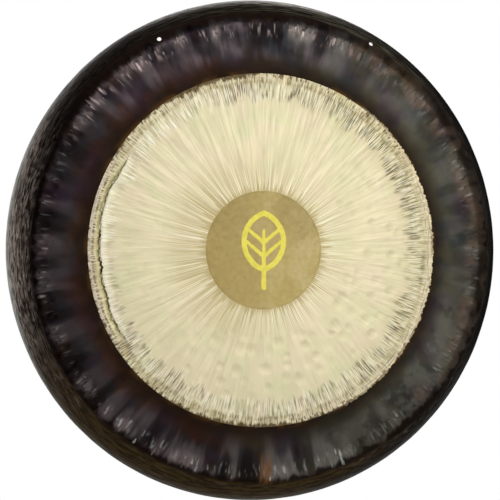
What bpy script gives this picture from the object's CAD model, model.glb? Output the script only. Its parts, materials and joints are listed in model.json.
import json
import math

import bpy
import numpy as np
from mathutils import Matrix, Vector
from mathutils.geometry import delaunay_2d_cdt


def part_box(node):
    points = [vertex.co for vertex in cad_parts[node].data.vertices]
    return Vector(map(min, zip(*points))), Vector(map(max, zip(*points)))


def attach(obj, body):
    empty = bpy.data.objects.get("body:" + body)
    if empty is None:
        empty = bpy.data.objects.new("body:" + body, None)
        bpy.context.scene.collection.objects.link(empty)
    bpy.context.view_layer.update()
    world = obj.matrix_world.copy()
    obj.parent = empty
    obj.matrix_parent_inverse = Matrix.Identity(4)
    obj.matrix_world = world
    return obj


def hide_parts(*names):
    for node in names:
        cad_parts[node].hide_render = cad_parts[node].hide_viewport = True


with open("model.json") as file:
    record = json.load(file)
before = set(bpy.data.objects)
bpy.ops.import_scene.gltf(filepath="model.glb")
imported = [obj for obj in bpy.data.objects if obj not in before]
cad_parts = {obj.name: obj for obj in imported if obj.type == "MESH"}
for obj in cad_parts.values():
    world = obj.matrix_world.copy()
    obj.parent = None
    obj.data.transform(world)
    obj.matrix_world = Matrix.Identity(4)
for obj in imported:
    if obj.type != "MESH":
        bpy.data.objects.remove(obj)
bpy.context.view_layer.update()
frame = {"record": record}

# Tam tam gong: one hammered bronze sheet. Lengths are in metres and angles in radians; only the
# materials count in mm, and their directions and those of the lights are in degrees.
# r is the distance from the gong's own axis, s runs along the section from the centre to the
# trimmed edge, and a is the angle round the axis, from the right and counter-clockwise.

MM = 0.001
TURN = 2 * math.pi

# --- the section, with its sizes taken from the frame ---

wall = 2.2 * MM
dome_radius = 6.7
band_end_slope = math.radians(6.6)
shoulder_end_slope = math.radians(50.0)
rim_end_slope = math.radians(96.0)


def half_width(node):
    low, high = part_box(node)
    return (high.x - low.x) / 2


disc_low, disc_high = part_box("centre_disc")
gong_centre = Vector(((disc_low.x + disc_high.x) / 2, disc_low.y, (disc_low.z + disc_high.z) / 2))
disc_r = half_width("centre_disc")
bright_r = half_width("lathed_face")
band_r = half_width("dark_band")
gong_r = half_width("rim_wall")
back_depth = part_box("rim_edge")[1].y - gong_centre.y

bright_slope = math.asin(bright_r / dome_radius)
band_radius = (band_r - bright_r) / (math.sin(band_end_slope) - math.sin(bright_slope))
bend_radius = (gong_r - band_r) / (1 - math.sin(band_end_slope))


def arc_after(arc, slope, radius):
    """Arc (centre r, centre depth, radius, slope and s at its start) that goes on tangent."""
    centre_r, centre_y, old_radius, old_slope, old_s = arc
    r = centre_r + (old_radius - radius) * math.sin(slope)
    y = centre_y - (old_radius - radius) * math.cos(slope)
    return r, y, radius, slope, old_s + old_radius * (slope - old_slope)


dome_arc = (0.0, dome_radius, dome_radius, 0.0, 0.0)
band_arc = arc_after(dome_arc, bright_slope, band_radius)
bend_arc = arc_after(band_arc, band_end_slope, bend_radius)

disc_s = dome_radius * math.asin(disc_r / dome_radius)
bright_s = band_arc[4]
band_s = bend_arc[4]
shoulder_s = band_s + bend_radius * (shoulder_end_slope - band_end_slope)
rim_s = band_s + bend_radius * (rim_end_slope - band_end_slope)
rim_end_depth = bend_arc[1] - bend_radius * math.cos(rim_end_slope)
edge_s = rim_s + (back_depth - rim_end_depth) / math.sin(rim_end_slope)


def section(s):
    """Radius, depth and slope of the outer surface at s."""
    in_rim = np.minimum(s, rim_s)
    arcs = [dome_arc, band_arc, bend_arc]
    where = [in_rim < bright_s, in_rim < band_s, in_rim >= band_s]
    centre_r, centre_y, radius, start, start_s = [
        np.select(where, [arc[i] for arc in arcs]) for i in range(5)
    ]
    slope = start + (in_rim - start_s) / radius
    beyond = s - in_rim
    r = centre_r + radius * np.sin(slope) + beyond * np.cos(slope)
    y = centre_y - radius * np.cos(slope) + beyond * np.sin(slope)
    return r, y, slope


# --- hammering: how far the sheet stands proud of the section ---


def smooth(x, low, high):
    t = np.clip((x - low) / (high - low), 0, 1)
    return t * t * (3 - 2 * t)


def window(x, low, high, fade):
    return smooth(x, low - fade, low) * (1 - smooth(x, high, high + fade))


def swell(s, a, step, around, seed):
    """Smooth noise from -1 to 1 on a lattice, closed round the gong."""
    rows = int(edge_s / step) + 3
    table = np.random.default_rng(seed).uniform(-1, 1, (rows, around))
    u, v = np.clip(s / step, 0, rows - 2), a / TURN * around
    row, col = np.floor(u).astype(int), np.floor(v).astype(int)
    fu, fv = smooth(u - row, 0, 1), smooth(v - col, 0, 1)
    left = table[row, col % around] * (1 - fu) + table[row + 1, col % around] * fu
    right = table[row, (col + 1) % around] * (1 - fu) + table[row + 1, (col + 1) % around] * fu
    return left * (1 - fv) + right * fv


def dents(s, a, start, step, rows, around, long, wide, jitter, seed, tail=None):
    """Depth from 0 to 1 of hammer marks in jittered rows; long is along s, wide is round the gong.
    A tail makes each mark reach further than long towards the centre."""
    rng = np.random.default_rng(seed)
    shift_s, shift_a = rng.uniform(-jitter, jitter, (2, rows, around))
    force = rng.uniform(0.25, 1.0, (rows, around))
    size = rng.uniform(0.75, 1.25, (rows, around))
    radius = section(s)[0]
    row0 = np.floor((s - start) / step).astype(int)
    deepest = np.zeros(np.broadcast(s, a).shape)
    for row in (row0 - 1, row0, row0 + 1):
        inside = np.clip(row, 0, rows - 1)
        offset = 0.5 * (inside % 2)
        col0 = np.floor(a / TURN * around - offset).astype(int)
        for col in (col0 - 1, col0, col0 + 1):
            mark = inside, col % around
            ds = s - start - (row + 0.5 + shift_s[mark]) * step
            da = a - (col + 0.5 + offset + shift_a[mark]) * TURN / around
            reach_s = np.where(ds < 0, tail or long, long)
            reach = ((ds / reach_s) ** 2 + (da * radius / wide) ** 2) / size[mark] ** 2
            depth = force[mark] * np.clip(1 - reach, 0, 1) ** 1.5 * (row == inside)
            deepest = np.maximum(deepest, depth)
    return deepest


groove_r = 265 * MM
strokes_s = 238 * MM


def left_side(a):
    """1 on the left of the gong, where the crease is, and 0 elsewhere."""
    return smooth(-np.cos(a), 0.80, 0.93)


def hammer_force(a):
    """1 on most of the gong, and less on the right, where the oxide is smoother."""
    return 1 - 0.6 * smooth(np.cos(a - 0.15), 0.2, 0.85)


def crease_distance(s, a):
    """How far in mm each point lies outside the wandering crease."""
    slow = swell(a * 0, a, step=1.0, around=24, seed=13)
    quick = swell(a * 0, a, step=1.0, around=68, seed=14)
    return (section(s)[0] - groove_r) / MM - (1.6 * slow + 2.0 * quick)


def dimples(s, a):
    """From 0 to 1: soft round dents under the lathed ring, deepest on the right and below."""
    marks = dents(s, a, start=110 * MM, step=24 * MM, rows=6, around=46, long=10 * MM,
                  wide=10 * MM, jitter=0.42, seed=12)
    fade = window(section(s)[0], 150 * MM, 228 * MM, 22 * MM)
    where = 0.25 + 0.75 * smooth(np.cos(a + 0.55), -0.5, 0.5)
    return marks * fade * where


def face_relief(s, r, a):
    """The dimples, a pecked outer edge, and on the left the crease between two raised edges."""
    d = crease_distance(s, a)
    ledge = smooth(d, -14, -1.5) * (1 - smooth(d, -0.8, 0.8))
    trough = smooth(d, -0.8, 0.8) * (1 - smooth(d, 0.8, 8.5))
    lip = smooth(d, 2, 9) * (1 - smooth(r, bright_r - 5 * MM, bright_r))
    pecks = swell(s, a, step=5 * MM, around=250, seed=15)
    pecks = pecks * window(r, 262 * MM, 280 * MM, 8 * MM)
    crease = left_side(a) * (0.40 * ledge - 0.95 * trough + 0.30 * lip)
    return MM * (crease + 0.10 * pecks - 0.7 * dimples(s, a))


def ridges(s, a):
    """From -1 to 1: radial swells left by the hammer in the dark band."""
    broad = swell(s, a, step=60 * MM, around=58, seed=21)
    narrow = swell(s, a, step=60 * MM, around=122, seed=22)
    return 0.45 * broad + 0.55 * narrow


def band_relief(s, r, a):
    fade = window(r, 312 * MM, 362 * MM, 20 * MM)
    return 0.85 * MM * hammer_force(a) * ridges(s, a) * fade


tip_start = band_s - 14 * MM


def tips(s, a):
    """From 0 to 1: small bright facets at the outer ends of the swells."""
    facets = dents(s, a, start=tip_start, step=11 * MM, rows=2, around=140, long=4 * MM,
                   wide=3.4 * MM, jitter=0.48, seed=35, tail=15 * MM)
    return facets * smooth(ridges(s * 0 + tip_start, a), -0.35, 0.25)


def shoulder_relief(s, a):
    """Where the band turns into the shoulder: hammer marks with bright facets between them."""
    first, last = band_s - 16 * MM, shoulder_s - 8 * MM
    marks = dents(s, a, start=first, step=12.5 * MM, rows=4, around=118, long=12 * MM,
                  wide=7.5 * MM, jitter=0.45, seed=31)
    marks = marks * window(s, first, last, 12 * MM) * hammer_force(a)
    return MM * (0.40 * tips(s, a) - 0.55 * marks)


def rim_relief(s, a):
    """Long marks side by side round the rim wall, and a slightly wavy trimmed edge."""
    first = band_s + 9 * MM
    marks = dents(s, a, start=first, step=6.5 * MM, rows=13, around=92, long=4.6 * MM,
                  wide=17 * MM, jitter=0.45, seed=41)
    marks = marks * smooth(s, first, first + 14 * MM)
    wave = swell(s * 0, a, step=1.0, around=14, seed=42) * smooth(s, shoulder_s, edge_s)
    return MM * (0.5 * wave - 0.42 * marks)


def relief(s, a):
    """All of the hammering, over a slight unevenness of the whole sheet."""
    r = section(s)[0]
    uneven = 0.35 * MM * swell(s, a, step=90 * MM, around=7, seed=51)
    inner = face_relief(s, r, a) + band_relief(s, r, a)
    outer = shoulder_relief(s, a) + rim_relief(s, a)
    return uneven * smooth(r, 60 * MM, 200 * MM) + inner + outer


# --- cord holes ---

mounts = {mount["name"]: mount for mount in frame["record"]["mounts"]}
hole_mounts = [mounts["cord_hole_left"], mounts["cord_hole_right"]]
hole_r = hole_mounts[0]["dims"]["r_mm"] * MM
hole_corners = 40
rubbed_depth, rubbed_width = 0.35 * MM, 1.1 * MM


def hole_place(mount):
    """s and a of a cord hole's centre."""
    away = Vector(mount["pos_m"]) - gong_centre
    r = math.hypot(away.x, away.z)
    slope = math.asin((r - bend_arc[0]) / (bend_radius - wall / 2))
    return band_s + bend_radius * (slope - band_end_slope), math.atan2(away.z, away.x)


hole_places = [hole_place(mount) for mount in hole_mounts]


def hole_rounding(s, a):
    """The rubbed edge of the cord holes."""
    cut = 0.0
    for hole_s, hole_a in hole_places:
        apart = np.hypot(s - hole_s, (a - hole_a) * section(hole_s)[0])
        cut = cut + rubbed_depth * np.clip(1 - (apart - hole_r) / rubbed_width, 0, 1) ** 2
    return cut


def surface(s, a, back=False):
    """Points of the front skin, or of the back skin one wall behind it, in the part's frame."""
    r, y, slope = section(s)
    proud = relief(s, a) - (wall if back else 0) + hole_rounding(s, a) * (1 if back else -1)
    r = r + proud * np.sin(slope)
    y = np.minimum(y - proud * np.cos(slope), back_depth)
    x, z = r * np.cos(a), r * np.sin(a)
    return np.stack([gong_centre.x + x, gong_centre.y + y, gong_centre.z + z], axis=-1)


def surface_normal(s, a, back=False):
    """Outward normals of a skin, from points a little way to each side."""
    step, least_r = 0.3 * MM, 5 * MM
    turn = step / np.maximum(section(s)[0], least_r)
    along = surface(s + step, a, back) - surface(np.maximum(s - step, 0), a, back)
    around = surface(s, a + turn, back) - surface(s, a - turn, back)
    normal = np.cross(along, around)
    length = np.linalg.norm(normal, axis=-1, keepdims=True)
    normal = normal / np.where(length > 0, length, 1)
    return -normal if back else normal


# --- sheets of the plate ---


FRONT, BACK, BARE = 0, 1, 2


class Sheet:
    """Points (s, a) with faces between them. Each loop is an open border with the material slot
    of the wall that joins it to the back skin."""

    def __init__(self):
        self.s, self.a, self.faces, self.loops = [], [], [], []

    def add(self, s, a):
        start = len(self.s)
        self.s.extend(s)
        self.a.extend(a)
        return list(range(start, len(self.s)))


def ring_sheet(start, spans, around):
    """Polar grid that starts at a place on the section; each span has its end and its step."""
    sheet = Sheet()
    stations = [start]
    for end, step in spans:
        rows = round((end - stations[-1]) / step)
        stations += list(np.linspace(stations[-1], end, rows + 1)[1:])
    a = np.arange(around) * TURN / around
    lines = [sheet.add(np.full(around, s), a) for s in stations if s > 0]
    for low, high in zip(lines, lines[1:]):
        for i in range(around):
            j = (i + 1) % around
            sheet.faces.append((low[i], high[i], high[j], low[j]))
    if start == 0:
        middle = sheet.add([0.0], [0.0])[0]
        sheet.faces += [(middle, lines[0][i], lines[0][(i + 1) % around]) for i in range(around)]
    else:
        sheet.loops.append((lines[0][::-1], FRONT))
    sheet.loops.append((lines[-1], FRONT))
    return sheet


def border(faces):
    """Corner indices round the outside of a patch of faces, in order."""
    edges = {(f[i], f[(i + 1) % len(f)]) for f in faces for i in range(len(f))}
    after = {a: b for a, b in edges if (b, a) not in edges}
    loop = [next(iter(after))]
    while after[loop[-1]] != loop[0]:
        loop.append(after[loop[-1]])
    return loop


def cut_hole(sheet, hole_s, hole_a):
    """Replaces the grid round a cord hole with a fine patch that has the round hole in it."""
    radius = section(hole_s)[0]
    away_s = np.array(sheet.s) - hole_s
    away_a = ((np.array(sheet.a) - hole_a + math.pi) % TURN - math.pi) * radius
    patch_r = hole_r + 3.5 * MM
    near = np.hypot(away_s, away_a) < patch_r
    patch = [face for face in sheet.faces if any(near[i] for i in face)]
    sheet.faces = [face for face in sheet.faces if not any(near[i] for i in face)]
    owner = border(patch)
    outline = [Vector((away_s[i], away_a[i])) / MM for i in owner]
    flat = list(outline)
    edges = [(i, (i + 1) % len(outline)) for i in range(len(outline))]
    angles = np.arange(hole_corners) * TURN / hole_corners
    for gap in (0.0, 0.4, 1.0, 2.0):
        ring_r = hole_r + gap * MM
        u, v = ring_r * np.cos(angles), ring_r * np.sin(angles)
        first = len(flat)
        edges += [(first + i, first + (i + 1) % hole_corners) for i in range(hole_corners)]
        owner += sheet.add(hole_s + u, hole_a + v / radius)
        flat += [Vector(p) / MM for p in zip(u, v)]
    inside_only, tolerance = 1, 1e-6
    _, _, triangles, origin, _, _ = delaunay_2d_cdt(flat, edges, [], inside_only, tolerance)
    hole_edge = owner[len(outline):len(outline) + hole_corners]
    for triangle in triangles:
        face = tuple(owner[origin[i][0]] for i in triangle)
        if not all(i in hole_edge for i in face):
            sheet.faces.append(face)
    sheet.loops.append((hole_edge[::-1], BARE))


def add_object(name, data):
    added = bpy.data.objects.new(name, data)
    bpy.context.scene.collection.objects.link(added)
    return added


painted_layers = {
    "lathed_face": {"marks": dimples, "crease": crease_distance},
    "dark_band": {"marks": tips, "ridges": ridges},
    "shoulder": {"marks": tips, "ridges": ridges},
}


def plate_piece(name, node, sheet, materials):
    """Closed piece of the plate: front skin, back skin and the walls between them."""
    s, a = np.array(sheet.s), np.array(sheet.a)
    used = np.zeros(len(s), bool)
    for face in sheet.faces:
        used[list(face)] = True
    index = np.cumsum(used) - 1
    s, a = s[used], a[used]
    count = len(s)
    front = [tuple(int(index[i]) for i in face) for face in sheet.faces]
    back = [tuple(i + count for i in reversed(face)) for face in front]
    sides, side_slots = [], []
    for loop, slot in sheet.loops:
        corners = [int(index[i]) for i in loop]
        for i, j in zip(corners, corners[1:] + corners[:1]):
            sides.append((j, i, i + count, j + count))
            side_slots.append(slot)
    faces = front + back + sides
    slots = [FRONT] * len(front) + [BACK] * len(back) + side_slots
    points = np.concatenate([surface(s, a), surface(s, a, True)])
    mesh = bpy.data.meshes.new(name)
    mesh.from_pydata(points, [], faces)
    mesh.polygons.foreach_set("material_index", slots)
    smooth_faces = [True] * len(front + back) + [False] * len(sides)
    mesh.polygons.foreach_set("use_smooth", smooth_faces)
    normals = np.concatenate([surface_normal(s, a), surface_normal(s, a, True)])
    corner_vertex = np.zeros(len(mesh.loops), int)
    mesh.loops.foreach_get("vertex_index", corner_vertex)
    corner_normals = normals[corner_vertex]
    corner_normals[sum(len(face) for face in front + back):] = 0
    mesh.normals_split_custom_set(corner_normals)
    for label, value in painted_layers.get(node, {}).items():
        layer = mesh.attributes.new(label, "FLOAT", "POINT")
        layer.data.foreach_set("value", np.tile(value(s, a), 2).astype(np.float32))
    for material in materials:
        mesh.materials.append(material)
    piece = add_object(name, mesh)
    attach(piece, "root")
    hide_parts(node)
    return piece


# --- materials ---


def srgb(colour):
    """Linear colour from the usual 0 to 255 values."""
    values = [c / 255 for c in colour]
    linear = [c / 12.92 if c < 0.04045 else ((c + 0.055) / 1.055) ** 2.4 for c in values]
    return (*linear, 1)


class Surface:
    """A material with a Principled shader and short calls for the nodes that drive it. In these
    calls lengths are in mm, and noise is read between the limits that it rarely passes."""

    noise_low, noise_high = 0.3, 0.7

    def __init__(self, name, metallic=1.0, roughness=0.5):
        self.material = bpy.data.materials.new(name)
        self.material.use_nodes = True
        self.nodes = self.material.node_tree.nodes
        self.links = self.material.node_tree.links
        self.shader = self.nodes["Principled BSDF"]
        self.shader.inputs["Metallic"].default_value = metallic
        self.shader.inputs["Roughness"].default_value = roughness
        place = self.nodes.new("ShaderNodeTexCoord").outputs["Object"]
        self.place = self.vector("SUBTRACT", place, tuple(gong_centre))
        flat = self.vector("MULTIPLY", self.place, (1, 0, 1))
        self.way = self.vector("NORMALIZE", flat)
        length = self.vector("LENGTH", flat, result="Value")
        self.radius = self.math("MULTIPLY", length, 1 / MM)
        split = self.nodes.new("ShaderNodeSeparateXYZ")
        self.put(self.place, split.inputs[0])
        self.to_right, self.to_back = split.outputs[:2]

    def put(self, value, socket):
        if isinstance(value, bpy.types.NodeSocket):
            self.links.new(value, socket)
        else:
            socket.default_value = value

    def vector(self, operation, a, b=(0, 0, 0), result="Vector"):
        node = self.nodes.new("ShaderNodeVectorMath")
        node.operation = operation
        self.put(a, node.inputs[0])
        self.put(b, node.inputs[1])
        return node.outputs[result]

    def along(self, direction):
        """From -1 to 1, how far the place lies towards this direction of the face."""
        angle = math.radians(direction)
        way = math.cos(angle), 0, math.sin(angle)
        return self.vector("DOT_PRODUCT", self.way, way, "Value")

    def math(self, operation, a, b=0.0, clamp=False):
        node = self.nodes.new("ShaderNodeMath")
        node.operation = operation
        node.use_clamp = clamp
        self.put(a, node.inputs[0])
        self.put(b, node.inputs[1])
        return node.outputs[0]

    def remap(self, value, low, high, to_low=0.0, to_high=1.0, smooth=True):
        node = self.nodes.new("ShaderNodeMapRange")
        node.interpolation_type = "SMOOTHSTEP" if smooth else "LINEAR"
        for i, v in enumerate((value, low, high, to_low, to_high)):
            self.put(v, node.inputs[i])
        return node.outputs[0]

    def both(self, a, b):
        return self.math("MULTIPLY", a, b)

    def spread(self, noise, low, high):
        """Stretches noise so that it goes evenly from low to high."""
        return self.remap(noise, self.noise_low, self.noise_high, low, high, False)

    def between(self, value, start, full, fade, end, strength=1.0):
        """From 0 up to 1 between start and full, and back to 0 between fade and end."""
        fall = self.remap(value, end, fade, 0.0, strength)
        return self.both(self.remap(value, start, full), fall)

    def noise(self, place, detail):
        node = self.nodes.new("ShaderNodeTexNoise")
        node.inputs["Scale"].default_value = 1.0
        node.inputs["Detail"].default_value = detail
        self.put(place, node.inputs["Vector"])
        return node.outputs["Fac"]

    def spots(self, size, seed, detail=2.0):
        """Noise in blotches of about this size."""
        scale = 1 / (size * MM)
        place = self.vector("MULTIPLY", self.place, (scale, scale, scale))
        return self.noise(self.vector("ADD", place, (seed, seed, seed)), detail)

    def streaks(self, around, length, seed, detail=2.0):
        """Noise in radial streaks of this length, this many of them in one radian."""
        turned = self.vector("MULTIPLY", self.way, (around, around, around))
        node = self.nodes.new("ShaderNodeCombineXYZ")
        outward = self.math("ADD", self.math("MULTIPLY", self.radius, 1 / length), seed)
        self.put(outward, node.inputs[1])
        return self.noise(self.vector("ADD", turned, node.outputs[0]), detail)

    def hoops(self, around, width, seed):
        """Noise in long marks of this width round the gong, this many of them in one radian."""
        turned = self.vector("MULTIPLY", self.way, (around, around, around))
        down = self.math("ADD", self.radius, self.math("MULTIPLY", self.to_back, 1 / MM))
        node = self.nodes.new("ShaderNodeCombineXYZ")
        self.put(self.math("ADD", self.math("MULTIPLY", down, 1 / width), seed), node.inputs[1])
        return self.noise(self.vector("ADD", turned, node.outputs[0]), 2.0)

    def attribute(self, name):
        node = self.nodes.new("ShaderNodeAttribute")
        node.attribute_name = name
        return node.outputs["Fac"]

    def blend(self, factor, a, b):
        """Colour a where the factor is 0, and b where it is 1; plain ones are in 0 to 255."""
        node = self.nodes.new("ShaderNodeMix")
        node.data_type = "RGBA"
        colour_a, colour_b, colour_out = 6, 7, 2
        self.put(factor, node.inputs[0])
        for colour, i in ((a, colour_a), (b, colour_b)):
            self.put(srgb(colour) if isinstance(colour, tuple) else colour, node.inputs[i])
        return node.outputs[colour_out]

    def bump(self, height, depth, below=None):
        """Bump from a height of 0 to 1 that stands for this depth in metres."""
        node = self.nodes.new("ShaderNodeBump")
        node.inputs["Strength"].default_value = 1.0
        node.inputs["Distance"].default_value = depth
        self.put(height, node.inputs["Height"])
        if below is not None:
            self.put(below, node.inputs["Normal"])
        return node.outputs[0]

    def finish(self, colour, roughness=None, normal=None):
        for value, name in ((colour, "Base Color"), (roughness, "Roughness"), (normal, "Normal")):
            if value is not None:
                self.put(value, self.shader.inputs[name])
        return self.material


def lathed_bronze():
    """Bright ring: satin, with a sunburst inside and chatter strokes near its edge."""
    m = Surface("lathed_bronze", metallic=0.9)
    r = m.radius
    left = m.remap(m.along(180), 0.80, 0.93)
    colour = m.blend(m.remap(m.spots(80, 3), 0.40, 0.64), (216, 207, 171), (219, 206, 174))
    colour = m.blend(m.remap(m.spots(50, 9), 0.48, 0.70, 0.0, 0.7), colour, (209, 206, 165))
    dimpled = m.remap(m.attribute("marks"), 0.1, 1.0, 0.0, 0.4)
    colour = m.blend(dimpled, colour, (200, 193, 148))
    shade = m.both(m.remap(m.along(175), -0.6, 0.9, 0.2, 1.0), m.remap(r, 185, 105))
    colour = m.blend(m.both(shade, 0.85), colour, (188, 174, 132))
    colour = sunburst(m, colour)
    colour, strokes = chatter_strokes(m, colour, left)
    colour = crease_colour(m, colour, left)
    lip = m.remap(r, 263, 272)
    colour = outer_edge(m, colour, lip, left)
    rough = m.spread(m.streaks(60, 60, 7), 0.42, 0.52)
    fine = m.streaks(180, 26, 4, 1.0)
    cut = m.both(fine, m.math("MAXIMUM", strokes, m.both(lip, 0.4)))
    return m.finish(colour, rough, m.bump(cut, 0.25 * MM))


def sunburst(m, colour):
    """Brush streaks that fade outwards, and the brown spikes round the centre disc."""
    r = m.radius
    inner = m.remap(r, 98, m.remap(m.along(176), 0.2, 0.9, 155, 195), 1.0, 0.0)
    rays = m.both(m.remap(m.streaks(38, 700, 1), 0.4, 0.7), m.both(inner, 0.6))
    colour = m.blend(rays, colour, (230, 222, 190))
    hairs = m.streaks(95, 900, 2, 1.0)
    light = m.both(m.remap(hairs, 0.54, 0.66), m.both(inner, 0.7))
    colour = m.blend(light, colour, (240, 233, 207))
    dark = m.both(m.remap(hairs, 0.48, 0.36), m.both(inner, 0.7))
    colour = m.blend(dark, colour, (166, 149, 106))
    spikes = m.math("ADD", m.remap(m.streaks(60, 900, 6, 1.0), 0.40, 0.68, 95.5, 108, False),
                    m.remap(m.streaks(28, 900, 7, 1.0), 0.48, 0.75, 0, 19, False))
    burst = m.remap(m.math("SUBTRACT", r, spikes), -8, 2.5, 0.75, 0.0)
    return m.blend(burst, colour, (172, 154, 104))


def chatter_strokes(m, colour, left):
    """Short radial strokes near the outer edge, in ragged clusters with bluish-grey shadows."""
    r = m.radius
    ragged = m.math("ADD", r, m.spread(m.streaks(13, 60, 5), -11, 11))
    ragged = m.math("ADD", ragged, m.spread(m.streaks(50, 60, 15), -5, 5))
    zone = m.both(m.remap(ragged, 237, 249), m.remap(r, 276, 268))
    beyond_crease = m.both(left, m.remap(m.attribute("crease"), -2.5, 0.0))
    zone = m.both(zone, m.remap(beyond_crease, 0, 1, 1, 0))
    below = m.remap(m.along(266), 0.75, 0.97, 0.0, 0.5)
    thin = m.math("MAXIMUM", m.remap(m.along(148), 0.50, 0.97), below)
    where = m.remap(m.streaks(7, 40, 8), 0.38, 0.58, m.remap(thin, 0, 1, 0.5, 0.15), 1.0)
    strokes = m.both(zone, m.both(where, m.remap(thin, 0, 1, 1.0, 0.3)))
    tan = m.both(m.remap(m.along(15), 0.2, 0.9, 0.0, 0.45), m.remap(ragged, 222, 250))
    colour = m.blend(tan, colour, (192, 180, 136))
    coarse = m.both(m.streaks(84, 26, 9, 1.0), 0.3)
    fine = m.math("ADD", m.both(m.streaks(180, 26, 4, 1.0), 0.7), coarse)
    shadow = m.both(m.remap(m.streaks(24, 22, 18), 0.46, 0.64), m.both(strokes, 0.6))
    colour = m.blend(shadow, colour, (150, 147, 128))
    dark = m.both(m.remap(fine, 0.50, 0.42), m.both(strokes, 0.9))
    colour = m.blend(dark, colour, (104, 95, 70))
    light = m.both(m.remap(fine, 0.52, 0.59), m.both(zone, m.remap(thin, 0, 1, 0.5, 0.85)))
    colour = m.blend(light, colour, (238, 233, 212))
    return colour, strokes


def crease_colour(m, colour, left):
    """On the left: a pale raised edge, then a torn dark line that fades outwards through olive."""
    across = m.math("ADD", m.attribute("crease"), m.spread(m.streaks(44, 300, 27), -2.4, 2.4))
    across = m.math("ADD", across, m.spread(m.streaks(17, 300, 28), -2.2, 2.2))
    pale = m.both(m.remap(across, -16, -3), m.remap(across, 0.5, -0.6))
    colour = m.blend(m.both(pale, m.both(left, 0.5)), colour, (236, 230, 208))
    start = m.both(m.remap(across, -0.6, 0.7), left)
    straw = m.both(start, m.remap(across, 9.5, 3.5, 0.0, 0.9))
    colour = m.blend(straw, colour, (176, 169, 116))
    uneven = m.remap(m.streaks(9, 300, 25), 0.36, 0.60, 0.6, 1.0)
    olive = m.both(start, m.both(uneven, m.remap(across, 6.2, 0.6)))
    colour = m.blend(olive, colour, (98, 89, 52))
    gap = m.both(m.both(start, m.remap(across, 3.8, 2.4)), m.remap(m.along(181), 0.988, 0.995))
    gap = m.both(gap, m.remap(m.streaks(20, 300, 26), 0.36, 0.46))
    return m.blend(gap, colour, (22, 18, 8))


def outer_edge(m, colour, lip, left):
    """The last centimetre before the oxide: tan, with radial ticks and a ragged brown end."""
    r = m.radius
    right = m.remap(m.along(-15), 0.55, 0.92)
    most = m.remap(right, 0, 1, 0.7, 0.3)
    tan = m.both(lip, m.remap(m.streaks(10, 14, 14), 0.36, 0.62, 0.1, most))
    colour = m.blend(tan, colour, (184, 170, 128))
    row = m.math("ADD", r, m.spread(m.streaks(12, 30, 19), -3, 3))
    ticked = m.between(row, 266, 271, 278, 282)
    clear = m.both(left, m.remap(m.attribute("crease"), 10, 6))
    ticked = m.both(ticked, m.remap(clear, 0, 1, 1.0, 0.0))
    ticks = m.both(m.remap(m.streaks(150, 40, 6, 1.0), 0.51, 0.43), ticked)
    colour = m.blend(m.both(ticks, m.remap(right, 0, 1, 0.7, 0.35)), colour, (118, 103, 70))
    bright = m.both(m.remap(m.streaks(150, 40, 21, 1.0), 0.52, 0.60), m.remap(row, 271, 276))
    colour = m.blend(m.both(bright, 0.55), colour, (232, 224, 198))
    pinkish = m.math("MAXIMUM", m.both(left, 0.6), m.both(right, 0.3))
    colour = m.blend(m.both(pinkish, m.remap(r, 275, 280)), colour, (236, 222, 202))
    pits = m.both(m.remap(m.streaks(80, 12, 22, 1.0), 0.44, 0.36), m.remap(row, 274, 279))
    pits = m.both(pits, m.remap(m.math("MAXIMUM", left, right), 0, 1, 0.8, 0.3))
    colour = m.blend(pits, colour, (80, 64, 38))
    middle = m.remap(m.streaks(120, 40, 33, 1.0), 0.54, 0.46)
    middle = m.both(middle, m.both(m.remap(r, 274.6, 276), left))
    middle = m.both(middle, m.remap(r, 279.4, 278, 0.0, 0.8))
    colour = m.blend(middle, colour, (112, 97, 66))
    turned = m.both(m.remap(m.hoops(10, 1.8, 34), 0.50, 0.42), m.remap(r, 275, 277))
    colour = m.blend(m.both(turned, m.both(right, 0.55)), colour, (124, 108, 80))
    reach = m.remap(m.along(20), -0.2, 0.8, 0.6, -3.0)
    reach = m.math("ADD", reach, m.remap(m.along(172), 0.86, 0.98, 0.0, -2.6))
    reach = m.math("ADD", reach, m.remap(m.along(107), 0.955, 0.995, 0.0, 5.5))
    reach = m.math("ADD", reach, m.remap(m.along(264), 0.955, 0.995, 0.0, 3.5))
    frayed = m.math("ADD", m.math("ADD", r, reach), m.spread(m.streaks(52, 14, 12), -3.5, 3.5))
    frayed = m.math("ADD", frayed, m.spread(m.streaks(9, 20, 17), -2.5, 2.5))
    return m.blend(m.remap(frayed, 280.5, 285.5, 0.0, 0.9), colour, (82, 64, 34))


def matt_bronze():
    """Centre disc: scrubbed matt, darker grain, no lathe marks."""
    m = Surface("matt_bronze", metallic=0.8)
    colour = m.blend(m.remap(m.spots(45, 2), 0.36, 0.66), (206, 186, 120), (213, 195, 140))
    shade = m.remap(m.to_right, 50 * MM, -80 * MM, 0.0, 0.85)
    colour = m.blend(shade, colour, (188, 165, 104))
    colour = m.blend(m.remap(m.spots(60, 11), 0.46, 0.66, 0.0, 0.6), colour, (196, 172, 112))
    upper_left = m.remap(m.along(135), 0.80, 0.97, 0.0, 0.7)
    corners = m.math("MAXIMUM", m.remap(m.along(45), 0.80, 0.97), upper_left)
    corners = m.both(corners, m.remap(m.radius, 30, 70, 0.0, 0.6))
    colour = m.blend(corners, colour, (182, 162, 106))
    colour = m.blend(m.remap(m.spots(1.3, 4), 0.4, 0.7, 0.0, 0.2), colour, (170, 150, 96))
    colour = m.blend(m.remap(m.radius, 90, 95.2, 0.0, 0.25), colour, (160, 140, 88))
    rough = m.spread(m.spots(8, 5), 0.56, 0.66)
    return m.finish(colour, rough, m.bump(m.spots(1.1, 6), 0.04 * MM))


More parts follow.
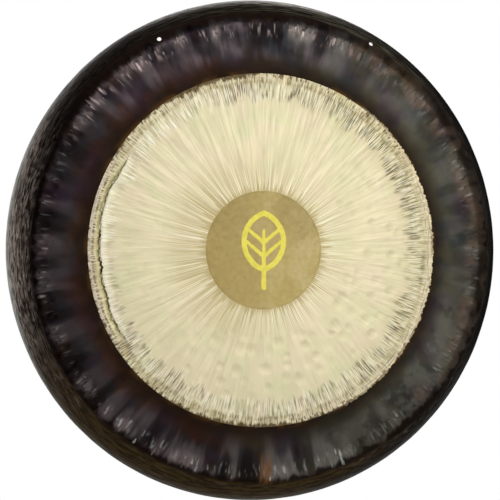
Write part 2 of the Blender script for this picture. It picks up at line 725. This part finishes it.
def rim_colour(m):
    """Grey-brown in long marks on the left, dark elsewhere: olive lines on top, brown below."""
    r = m.radius
    light_side = m.remap(m.along(181), 0.66, 0.93)
    low = m.blend(light_side, (24, 20, 17), (34, 28, 26))
    high = m.blend(light_side, (70, 64, 56), (122, 109, 101))
    colour = m.blend(m.remap(m.hoops(18, 4.2, 3), 0.42, 0.58), low, high)
    rubbed = m.remap(m.hoops(26, 3.2, 8), 0.54, 0.66, 0.0, 0.8)
    rubbed = m.both(rubbed, m.remap(light_side, 0, 1, 0.3, 1.0))
    colour = m.blend(rubbed, colour, (164, 154, 144))
    colour = m.blend(m.remap(m.spots(24, 9), 0.50, 0.66, 0.0, 0.6), colour, (44, 36, 33))
    greenish = m.remap(m.hoops(16, 12, 19), 0.38, 0.60, 0.1, 0.55)
    greenish = m.both(m.remap(r, 399, 405), greenish)
    colour = m.blend(m.both(greenish, light_side), colour, (84, 92, 84))
    darker = m.remap(m.hoops(10, 16, 29), 0.35, 0.60, 0.2, 0.55)
    darker = m.both(m.remap(r, 404, 396), darker)
    colour = m.blend(m.both(darker, light_side), colour, (44, 36, 32))
    ribbed = m.remap(m.hoops(8, 2.6, 12), 0.45, 0.57)
    lines = m.blend(ribbed, (30, 25, 19), (130, 124, 104))
    lines = m.blend(m.remap(m.hoops(12, 9, 16), 0.50, 0.66, 0.0, 0.7), lines, (44, 33, 29))
    colour = m.blend(m.remap(m.along(80), 0.70, 0.93), colour, lines)
    colour = m.blend(m.remap(m.along(122), 0.80, 0.97, 0.0, 0.6), colour, (46, 37, 31))
    lower = m.blend(m.remap(m.hoops(14, 6, 23), 0.40, 0.60), (56, 43, 25), (86, 68, 39))
    colour = m.blend(m.remap(m.along(254), 0.50, 0.90, 0.0, 0.75), colour, lower)
    far = m.both(m.remap(m.along(-14), 0.20, 0.75, 0.0, 0.85), m.remap(r, 382, 393))
    return m.blend(far, colour, (24, 18, 15))


def oxide(name, brown, grey, depth):
    """Furnace oxide on hammered bronze: temper patches, paler columns, soft gloss."""
    m = Surface(name, metallic=1.0)
    r = m.radius
    side = m.remap(m.along(0), -0.75, 0.9)
    calm = m.remap(m.along(8), 0.2, 0.85)
    quiet = m.math("MAXIMUM", calm, m.remap(m.along(182), 0.5, 0.9, 0.0, 0.85))
    wander = m.math("ADD", side, m.spread(m.spots(90, 2), -0.3, 0.3), clamp=True)
    colour = m.blend(wander, brown, grey)
    tempered = m.math("ADD", r, m.spread(m.spots(42, 61), -24, 24))
    russet = m.both(m.remap(tempered, 350, 302), m.remap(side, 0, 0.6, 0.6, 0.1))
    colour = m.blend(russet, colour, (50, 30, 22))
    lilac = m.both(m.remap(m.along(93), 0.84, 0.97), m.remap(r, 298, 326))
    lilac = m.both(lilac, m.remap(m.streaks(20, 140, 57), 0.40, 0.62, 0.15, 0.8))
    colour = m.blend(lilac, colour, (84, 75, 80))
    blue = m.between(tempered, 306, 340, 344, 378)
    colour = m.blend(m.both(blue, m.remap(side, 0, 1, 0.7, 0.35)), colour, (37, 36, 39))
    colour = m.blend(m.remap(m.spots(60, 5), 0.48, 0.68, 0.0, 0.6), colour, (46, 34, 46))
    steel = m.remap(m.spots(54, 8), 0.50, 0.68, 0.0, m.remap(side, 0, 0.6, 0.25, 0.6))
    colour = m.blend(steel, colour, (36, 42, 46))
    pale = m.blend(side, (82, 73, 75), (94, 92, 86))
    column = m.math("ADD", m.attribute("ridges"), m.spread(m.streaks(16, 110, 3), -0.35, 0.35))
    rise = m.remap(r, 294, 338)
    high = m.both(m.remap(column, -0.1, 0.45), rise)
    colour = m.blend(m.both(high, m.remap(quiet, 0, 1, 0.85, 0.3)), colour, pale)
    low = m.both(m.remap(column, -0.15, -0.5), rise)
    colour = m.blend(m.both(low, m.remap(calm, 0, 1, 0.85, 0.2)), colour, (27, 22, 22))
    ends = m.both(m.remap(column, 0.0, 0.4), m.between(r, 338, 356, 366, 375))
    patchy = m.remap(m.streaks(34, 60, 51), 0.36, 0.60, 0.2, 0.85)
    ends = m.both(ends, m.both(patchy, m.remap(quiet, 0, 1, 0.8, 0.2)))
    colour = m.blend(ends, colour, m.blend(side, (128, 112, 112), (122, 120, 110)))
    knob = m.remap(m.streaks(62, 26, 53, 1.0), 0.55, 0.68)
    knob = m.both(knob, m.between(r, 340, 354, 360, 368))
    knob = m.both(knob, m.remap(quiet, 0, 1, 0.55, 0.15))
    upper = m.remap(m.along(85), 0.25, 0.7)
    colour = m.blend(knob, colour, m.blend(upper, (134, 132, 130), (158, 142, 138)))
    low_right = m.remap(m.spots(26, 44), 0.40, 0.56, 0.1, 0.8)
    low_right = m.both(m.remap(m.along(-42), 0.80, 0.97), low_right)
    low_right = m.both(low_right, m.remap(r, 300, 325, 0.0, 0.7))
    colour = m.blend(low_right, colour, (88, 87, 78))
    patches = m.streaks(14, 40, 41)
    rusty = m.both(m.both(m.remap(r, 335, 358), calm), m.remap(patches, 0.44, 0.62, 0.0, 0.65))
    colour = m.blend(rusty, colour, (92, 76, 65))
    gaps = m.both(m.both(m.remap(r, 352, 372), calm), m.remap(patches, 0.50, 0.40, 0.0, 0.7))
    colour = m.blend(gaps, colour, (40, 31, 26))
    colour = m.blend(m.remap(r, 284, 322, 0.9, 0.0), colour, (26, 18, 11))
    torn = m.math("ADD", r, m.spread(m.streaks(60, 20, 49), -1.8, 1.8))
    worn = m.both(m.remap(m.along(-5), 0.4, 0.85, 0.0, 0.9), m.remap(torn, 287.4, 285.4))
    colour = m.blend(worn, colour, (190, 174, 138))
    glow = m.both(m.remap(m.spots(36, 31), 0.44, 0.62), m.remap(r, 284, 293, 0.6, 0.0))
    colour = m.blend(glow, colour, (66, 44, 19))
    outward = m.math("ADD", r, m.spread(m.streaks(22, 60, 9), -7, 7))
    outward = m.math("SUBTRACT", outward, m.both(calm, m.remap(m.along(30), 0.2, 0.8, 0.0, 16.0)))
    outward = m.math("SUBTRACT", outward, m.remap(m.along(93), 0.7, 0.95, 0.0, 6.0))
    bend = m.blend(upper, (29, 21, 17), (62, 46, 38))
    colour = m.blend(m.remap(outward, 364, 372, 0.0, 0.92), colour, bend)
    stain = m.both(m.remap(m.along(271), 0.9994, 0.9999), m.between(r, 316, 352, 370, 386))
    stain = m.both(stain, m.remap(m.streaks(60, 40, 47), 0.34, 0.56, 0.3, 0.85))
    colour = m.blend(stain, colour, (118, 84, 52))
    rim_start = m.remap(m.math("MAXIMUM", calm, upper), 0, 1, 371, 380)
    in_rim = m.remap(r, rim_start, m.math("ADD", rim_start, 9.0))
    colour = m.blend(in_rim, colour, rim_colour(m))
    broken = m.spread(m.streaks(80, 22, 27, 1.0), -0.45, 0.45)
    lit = m.remap(m.math("ADD", m.attribute("marks"), broken), 0.26, 0.85)
    lit = m.both(lit, m.remap(m.attribute("marks"), 0.02, 0.15))
    lit = m.both(lit, m.remap(m.streaks(18, 20, 63), 0.38, 0.58, 0.35, 1.0))
    rosy = m.remap(m.along(118), -0.3, 0.5)
    facet = m.blend(rosy, (172, 176, 168), (196, 178, 170))
    colour = m.blend(m.both(lit, m.remap(quiet, 0, 1, 0.9, 0.2)), colour, facet)
    rough = m.spread(m.spots(20, 7), 0.26, 0.38)
    return m.finish(colour, rough, m.bump(m.spots(2.4, 9), depth))


def rim_oxide():
    """Rim wall: dented oxide with long marks side by side."""
    m = Surface("rim_bronze", metallic=1.0)
    rough = m.spread(m.spots(12, 7), 0.32, 0.46)
    normal = m.bump(m.hoops(24, 4, 5), 0.35 * MM)
    return m.finish(rim_colour(m), rough, m.bump(m.spots(2.0, 9), 0.05 * MM, normal))


def back_oxide():
    """Back of the sheet: dull brown oxide, hammered all over, with bronze showing through."""
    m = Surface("back_bronze", metallic=0.85)
    r = m.radius
    colour = m.blend(m.remap(m.spots(70, 4, 5.0), 0.32, 0.70), (74, 57, 42), (104, 84, 58))
    colour = m.blend(m.remap(m.spots(38, 7, 4.0), 0.44, 0.74, 0.0, 0.6), colour, (62, 48, 50))
    colour = m.blend(m.remap(m.spots(9, 14), 0.46, 0.70, 0.0, 0.3), colour, (122, 100, 68))
    streaked = m.remap(m.streaks(30, 110, 2), 0.48, 0.74, 0.0, 0.3)
    colour = m.blend(streaked, colour, (134, 112, 76))
    colour = m.blend(m.remap(r, 110, 60, 0.0, 0.45), colour, (116, 94, 60))
    colour = m.blend(m.between(r, 262, 284, 300, 330, 0.45), colour, (58, 43, 34))
    rings = m.both(m.remap(m.hoops(3, 7, 36), 0.50, 0.66), 0.2)
    colour = m.blend(rings, colour, (130, 108, 74))
    colour = m.blend(m.remap(r, 350, 395, 0.0, 0.7), colour, (46, 36, 31))
    rough = m.spread(m.spots(16, 8), 0.34, 0.50)
    dented = m.bump(m.spots(17, 19, 0.0), 0.9 * MM)
    return m.finish(colour, rough, m.bump(m.spots(3, 9), 0.06 * MM, dented))


def bare_bronze():
    """Freshly cut bronze in the holes and on the trimmed edge."""
    m = Surface("bare_bronze", metallic=1.0)
    colour = m.blend(m.remap(m.spots(3, 4), 0.4, 0.65), (186, 150, 92), (128, 98, 58))
    return m.finish(colour, m.spread(m.spots(2, 5), 0.3, 0.5))


def leaf_paint():
    """Yellow brush paint, thinner and more olive at its edges."""
    m = Surface("yellow_paint", metallic=0.35)
    colour = m.blend(m.remap(m.spots(9, 3), 0.4, 0.64), (246, 232, 92), (236, 222, 82))
    colour = m.blend(m.remap(m.spots(1.6, 5), 0.55, 0.72, 0.0, 0.4), colour, (214, 200, 70))
    return m.finish(colour, 0.45, m.bump(m.spots(1.2, 6), 0.05 * MM))


lathed = lathed_bronze()
matt = matt_bronze()
band_oxide = oxide("dark_oxide_bronze", (36, 24, 21), (62, 60, 48), 0.05 * MM)
shoulder_oxide = oxide("hammered_oxide_bronze", (38, 27, 24), (70, 58, 44), 0.07 * MM)
rim = rim_oxide()
back = back_oxide()
bare = bare_bronze()

# --- the pieces ---


def build_plate():
    """The six worked zones of the plate, each with its slot of the record."""
    few, many = 720, 1440
    zones = [
        ("matt_centre", "centre_disc", 0.0, [(disc_s, 4 * MM)], few, matt, "matt_bronze"),
        ("lathed_ring", "lathed_face", disc_s, [(strokes_s, 4.5 * MM), (bright_s, 1.5 * MM)],
         few, lathed, "lathed_bronze"),
        ("oxide_band", "dark_band", bright_s, [(tip_start, 3.2 * MM), (band_s, 1.5 * MM)],
         many, band_oxide, "dark_oxide_bronze"),
        ("hammered_shoulder", "shoulder", band_s, [(shoulder_s, 1.5 * MM)],
         many, shoulder_oxide, "hammered_oxide_bronze"),
        ("rim_side", "rim_wall", shoulder_s, [(rim_s, 1.7 * MM)], many, rim, "rim_bronze"),
        ("rim_trim", "rim_edge", rim_s, [(edge_s, 2.0 * MM)], many, rim, "rim_bronze"),
    ]
    for name, node, start, spans, around, material, slot in zones:
        sheet = ring_sheet(start, spans, around)
        if node == "shoulder":
            for hole_s, hole_a in hole_places:
                cut_hole(sheet, hole_s, hole_a)
        piece = plate_piece(name, node, sheet, [material, back, bare])


# --- the painted leaf ---

leaf_low, leaf_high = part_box("centre_emblem")
leaf_bottom, leaf_top = leaf_low.z - gong_centre.z, leaf_high.z - gong_centre.z
leaf_half = (leaf_high.x - leaf_low.x) / 2
leaf_length = 100 * MM
leaf_middle = leaf_top - leaf_length / 2
outline_width = 9 * MM
stem_half, rib_end_half = 4.5 * MM, 2.5 * MM
rib_top = 34 * MM
vein_half = 3 * MM
vein_rise = math.radians(40)
vein_starts = [-14 * MM, 8 * MM]
paint = 0.15 * MM


def stroke(x, z, start, end, start_half, end_half):
    """How far inside a tapered brush stroke with round ends each point lies."""
    dx, dz = end[0] - start[0], end[1] - start[1]
    t = np.clip(((x - start[0]) * dx + (z - start[1]) * dz) / (dx * dx + dz * dz), 0, 1)
    away = np.hypot(x - start[0] - t * dx, z - start[1] - t * dz)
    return start_half + (end_half - start_half) * t - away


def leaf_depth(x, z):
    """How far inside the painted strokes each point lies, negative outside."""
    radius = ((leaf_length / 2) ** 2 + leaf_half ** 2) / (2 * leaf_half)
    off = radius - leaf_half
    blade = radius - np.hypot(np.abs(x) + off, z - leaf_middle)
    depth = np.minimum(blade, outline_width - blade)
    rib_ends = (0, leaf_bottom + stem_half), (0, rib_top - rib_end_half)
    depth = np.maximum(depth, stroke(x, z, *rib_ends, stem_half, rib_end_half))
    for start in vein_starts:
        low = start + vein_half / math.cos(vein_rise)
        high = low + leaf_half * math.tan(vein_rise)
        broad, fine = 1.15 * vein_half, 0.85 * vein_half
        vein = stroke(np.abs(x), z, (0, low), (leaf_half, high), broad, fine)
        depth = np.maximum(depth, np.minimum(vein, blade))
    return depth


def brush_wave(x, z, size, seed):
    """Smooth noise from -1 to 1 on the flat of the disc, in waves of this size."""
    cells = 64
    table = np.random.default_rng(seed).uniform(-1, 1, (cells, cells))
    u, v = x / size + cells / 2, z / size + cells / 2
    col, row = np.floor(u).astype(int), np.floor(v).astype(int)
    fu, fv = smooth(u - col, 0, 1), smooth(v - row, 0, 1)
    low = table[row, col] * (1 - fu) + table[row, col + 1] * fu
    high = table[row + 1, col] * (1 - fu) + table[row + 1, col + 1] * fu
    return low * (1 - fv) + high * fv


def build_leaf():
    """Paint film: it rises from just under the disc's face, so its edge is where it comes out."""
    step, ragged, sunk, most = 0.9 * MM, 0.35 * MM, 0.9 * paint, 0.97 * paint
    before, after = 2 * step, 2.5 * step
    x = np.arange(-leaf_half - before, leaf_half + after, step)
    z = np.arange(leaf_bottom - before, leaf_top + after, step)
    x, z = np.meshgrid(x, z)
    depth = leaf_depth(x, z) + ragged * brush_wave(x, z, size=3.5 * MM, seed=61) - ragged
    film = (paint + sunk) * smooth(depth, -1.2 * MM, 1.0 * MM) - sunk
    film = np.minimum(film * (1 + 0.12 * brush_wave(x, z, size=2.2 * MM, seed=62)), most)
    y = surface(dome_radius * np.arcsin(np.hypot(x, z) / dome_radius), np.arctan2(z, x))[..., 1]
    rows, cols = x.shape
    number = np.arange(rows * cols).reshape(rows, cols)
    wet = (depth > -1.9 * MM).ravel()
    quads = []
    for i in range(rows - 1):
        for j in range(cols - 1):
            quad = number[i, j], number[i, j + 1], number[i + 1, j + 1], number[i + 1, j]
            if any(wet[k] for k in quad):
                quads.append(quad)
    used = sorted({int(k) for quad in quads for k in quad})
    place = {k: n for n, k in enumerate(used)}
    front = [tuple(place[int(k)] for k in quad) for quad in quads]
    count = len(used)
    back = [tuple(k + count for k in reversed(quad)) for quad in front]
    edges = {(quad[i], quad[(i + 1) % 4]) for quad in front for i in range(4)}
    sides = [(j, i, i + count, j + count) for i, j in edges if (j, i) not in edges]
    x, z, y, film = [grid.ravel()[used] for grid in (x, z, y, film)]
    buried = 3 * paint
    top = np.stack([gong_centre.x + x, y - film, gong_centre.z + z], axis=-1)
    bottom = np.stack([gong_centre.x + x, y + buried, gong_centre.z + z], axis=-1)
    mesh = bpy.data.meshes.new("painted_leaf")
    mesh.from_pydata(np.concatenate([top, bottom]), [], front + back + sides)
    smooth_faces = [True] * len(front) + [False] * len(back + sides)
    mesh.polygons.foreach_set("use_smooth", smooth_faces)
    mesh.materials.append(leaf_paint())
    piece = add_object("painted_leaf", mesh)
    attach(piece, "root")
    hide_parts("centre_emblem")


build_plate()
build_leaf()

# --- floor, lights and camera ---


def floor():
    """Round pale floor some way below the hanging gong."""
    mesh = bpy.data.meshes.new("floor")
    radius, corners, gap = 2.6, 96, 0.5
    level = gong_centre.z - gong_r - gap
    turns = [i * TURN / corners for i in range(corners)]
    points = [(radius * math.cos(turn), radius * math.sin(turn), level) for turn in turns]
    mesh.from_pydata(points, [], [tuple(range(corners))])
    piece = add_object("floor", mesh)
    m = Surface("pale_floor", metallic=0.0, roughness=0.6)
    mottle = m.remap(m.spots(300, 1), 0.3, 0.7)
    mesh.materials.append(m.finish(m.blend(mottle, (235, 234, 230), (240, 239, 236))))


def direction(azimuth, elevation):
    """Unit vector from the gong: azimuth 0 is straight in front, positive to the right."""
    turn, lift = math.radians(azimuth), math.radians(elevation)
    level = math.cos(lift)
    return Vector((math.sin(turn) * level, -math.cos(turn) * level, math.sin(lift)))


def softbox(name, azimuth, elevation, distance, width, height, power):
    """White area light aimed at the gong."""
    light = bpy.data.lights.new(name, "AREA")
    light.shape = "RECTANGLE"
    light.size, light.size_y = width, height
    light.energy = power
    lamp = add_object(name, light)
    away = direction(azimuth, elevation)
    lamp.location = gong_centre + away * distance
    lamp.rotation_euler = away.to_track_quat("Z", "Y").to_euler()


def studio():
    """White surroundings to the eye; in reflections a dim room with soft white panels."""
    world = bpy.data.worlds.new("studio")
    world.use_nodes = True
    bpy.context.scene.world = world
    nodes, links = world.node_tree.nodes, world.node_tree.links

    def vector(operation, socket, other=(0, 0, 0)):
        node = nodes.new("ShaderNodeVectorMath")
        node.operation = operation
        links.new(socket, node.inputs[0])
        node.inputs[1].default_value = other
        return node.outputs

    place = nodes.new("ShaderNodeTexCoord").outputs["Generated"]
    white, dim = (1, 1, 1, 1), 0.035
    # Azimuth and elevation of the middle, angles from it at which the panel starts to fade and
    # ends, how much flatter than round it is, and its strength.
    panels = [
        (-135, 0, 50, 72, 2.0, 1.1),
        (-68, 0, 26, 52, 2.2, 0.55),
        (70, 12, 22, 48, 1.0, 0.35),
        (0, 90, 30, 64, 1.0, 0.2),
    ]
    total = None
    for azimuth, elevation, full, gone, squeeze, strength in panels:
        way = vector("NORMALIZE", vector("MULTIPLY", place, (1, 1, squeeze))["Vector"])["Vector"]
        nearness = vector("DOT_PRODUCT", way, direction(azimuth, elevation))["Value"]
        fade = nodes.new("ShaderNodeMapRange")
        fade.interpolation_type = "SMOOTHSTEP"
        links.new(nearness, fade.inputs[0])
        limits = math.cos(math.radians(gone)), math.cos(math.radians(full)), 0.0, strength
        for socket, value in zip(fade.inputs[1:5], limits):
            socket.default_value = value
        add = nodes.new("ShaderNodeMath")
        links.new(fade.outputs[0], add.inputs[0])
        if total is None:
            add.inputs[1].default_value = dim
        else:
            links.new(total, add.inputs[1])
        total = add.outputs[0]
    room = nodes["Background"]
    room.inputs["Color"].default_value = white
    links.new(total, room.inputs["Strength"])
    backdrop = nodes.new("ShaderNodeBackground")
    backdrop.inputs["Color"].default_value = white
    backdrop.inputs["Strength"].default_value = 1.0
    eye = nodes.new("ShaderNodeLightPath")
    mix = nodes.new("ShaderNodeMixShader")
    links.new(eye.outputs["Is Camera Ray"], mix.inputs[0])
    links.new(room.outputs[0], mix.inputs[1])
    links.new(backdrop.outputs[0], mix.inputs[2])
    links.new(mix.outputs[0], nodes["World Output"].inputs["Surface"])


def camera():
    """Long lens, level with the gong's centre and 13 degrees round to its left."""
    data = bpy.data.cameras.new("camera")
    data.lens = 160
    data.sensor_width = 36
    eye = add_object("camera", data)
    turn, distance, to_left = math.radians(13.3), 3.563, 21.4 * MM
    forward = Vector((math.sin(turn), math.cos(turn), 0))
    right = Vector((math.cos(turn), -math.sin(turn), 0))
    aim = gong_centre + Vector((0, 3 * MM, 0.3 * MM)) - right * to_left
    eye.location = aim - forward * distance
    eye.rotation_euler = (-forward).to_track_quat("Z", "Y").to_euler()
    bpy.context.scene.camera = eye


floor()
studio()
softbox("key", azimuth=15, elevation=6.5, distance=2.6, width=2.1, height=1.9, power=28.3)
softbox("top", azimuth=-12, elevation=134, distance=2.0, width=1.1, height=0.8, power=5.5)
camera()
bpy.context.scene.view_settings.view_transform = "Standard"
